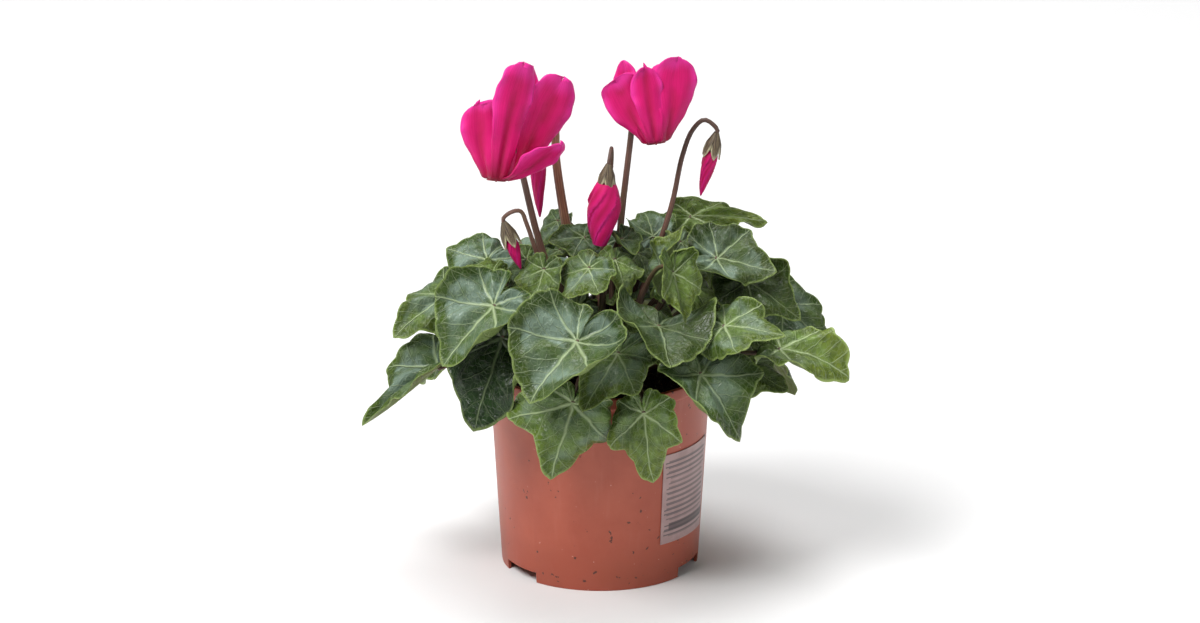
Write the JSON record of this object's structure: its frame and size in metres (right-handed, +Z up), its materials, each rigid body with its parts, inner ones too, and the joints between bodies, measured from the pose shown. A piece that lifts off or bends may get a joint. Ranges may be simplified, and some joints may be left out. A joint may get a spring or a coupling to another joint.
{
  "type": "potted cyclamen",
  "caption": "Miniature cyclamen in a round tapered plastic pot, with marbled leaves, nodding flowers with turned-back petals, and hooked buds.",
  "frame": {"origin": "middle of the pot's flat underside, on the surface that the pot stands on", "axes": "+Z up along the pot's axis, -Y towards the side seen in the picture, +X to its right"},
  "size_m": [0.1902, 0.1589, 0.2084],
  "materials": {
    "pot": "terracotta-coloured plastic, slightly glossy",
    "sticker": "pale printed paper",
    "soil": "dark peat",
    "tuber": "brown, corky",
    "leaf": "green leaf with a silvery pattern",
    "petal": "soft magenta petal",
    "stalk": "fleshy reddish brown stalk"
  },
  "bodies": {
    "root": {"pot": "pot", "pot_sticker": "sticker", "soil": "soil", "tuber": "tuber", "leaf_01": "leaf", "leaf_02": "leaf", "leaf_03": "leaf", "leaf_04": "leaf", "leaf_05": "leaf", "leaf_06": "leaf", "leaf_07": "leaf", "leaf_08": "leaf", "leaf_09": "leaf", "leaf_10": "leaf", "leaf_11": "leaf", "leaf_12": "leaf", "leaf_13": "leaf", "leaf_14": "leaf", "leaf_15": "leaf", "leaf_16": "leaf", "leaf_17": "leaf", "leaf_18": "leaf", "leaf_19": "leaf", "leaf_20": "leaf", "leaf_21": "leaf", "leaf_22": "leaf", "leaf_23": "leaf", "leaf_24": "leaf", "leaf_25": "leaf", "leaf_26": "leaf", "leaf_27": "leaf", "leaf_28": "leaf", "leaf_29": "leaf", "leaf_30": "leaf", "leaf_31": "leaf", "leaf_32": "leaf", "leaf_33": "leaf", "leaf_34": "leaf", "leaf_35": "leaf", "leaf_36": "leaf", "leaf_37": "leaf", "leaf_38": "leaf", "leaf_39": "leaf", "leaf_40": "leaf", "leaf_41": "leaf", "bloom_1_petals": "petal", "bloom_1_stalk": "stalk", "bloom_2_petals": "petal", "bloom_2_stalk": "stalk", "bud_1_petals": "petal", "bud_1_stalk": "stalk", "bud_2_petals": "petal", "bud_2_stalk": "stalk", "bud_3_petals": "petal", "bud_3_stalk": "stalk", "bud_4_petals": "petal", "bud_4_stalk": "stalk"}
  },
  "joints": []
}
